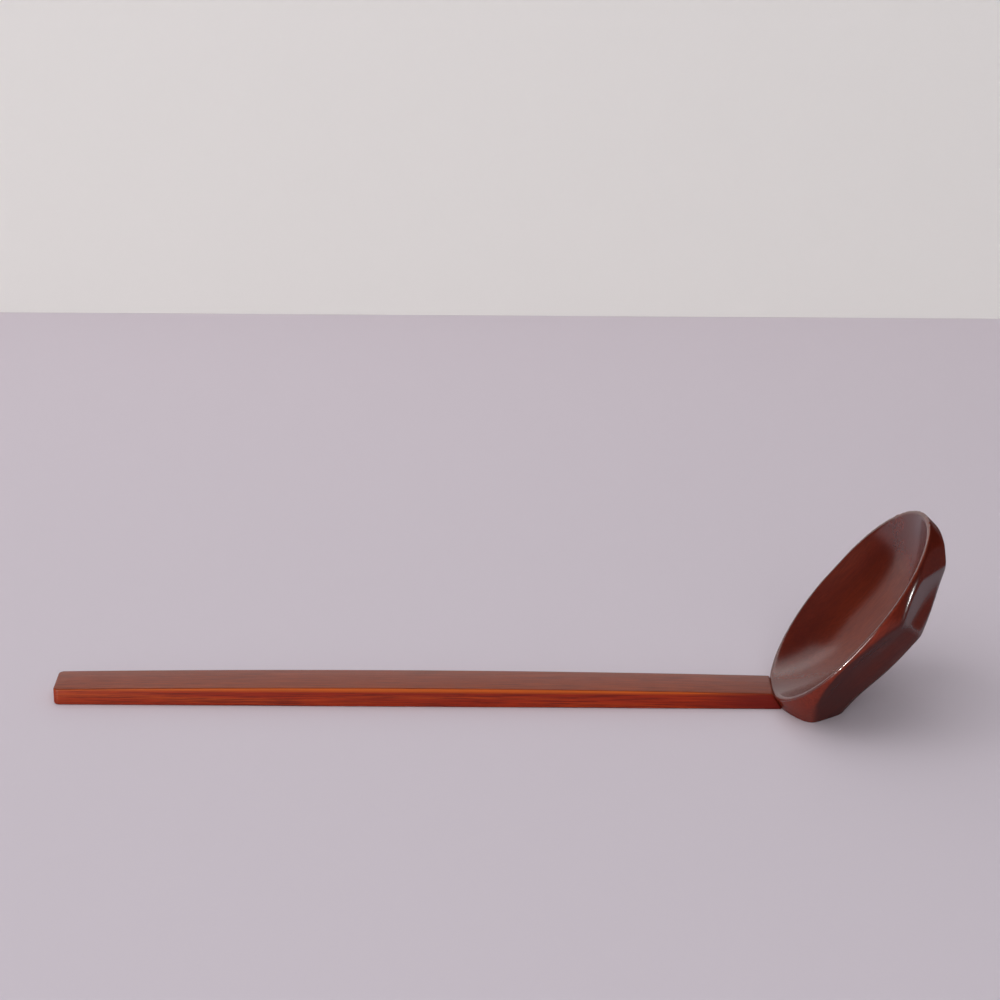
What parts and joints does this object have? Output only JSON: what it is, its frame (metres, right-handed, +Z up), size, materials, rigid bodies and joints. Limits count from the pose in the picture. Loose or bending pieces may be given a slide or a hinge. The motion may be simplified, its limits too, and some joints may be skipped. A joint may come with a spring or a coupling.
{
  "type": "wooden ladle",
  "caption": "Small wooden ladle with a faceted, lacquered bowl tilted up at the end of a slim, flat handle, for serving soup or sauce.",
  "frame": {"origin": "middle of the whole length and width, at table height, with the ladle lying as it is put down", "axes": "+X from the handle's free end to the bowl, +Y across, +Z up, out of the table"},
  "size_m": [0.2428, 0.059, 0.0539],
  "materials": {
    "bowl_lacquer": "clear red-brown lacquer over fine-grained wood, dark and glossy",
    "handle_lacquer": "clear red-brown lacquer over straight-grained wood, satin to glossy",
    "glue": "hard glue, hidden in the joint"
  },
  "bodies": {
    "root": {"bowl": "bowl_lacquer", "handle": "handle_lacquer", "joint_glue": "glue"}
  },
  "joints": []
}
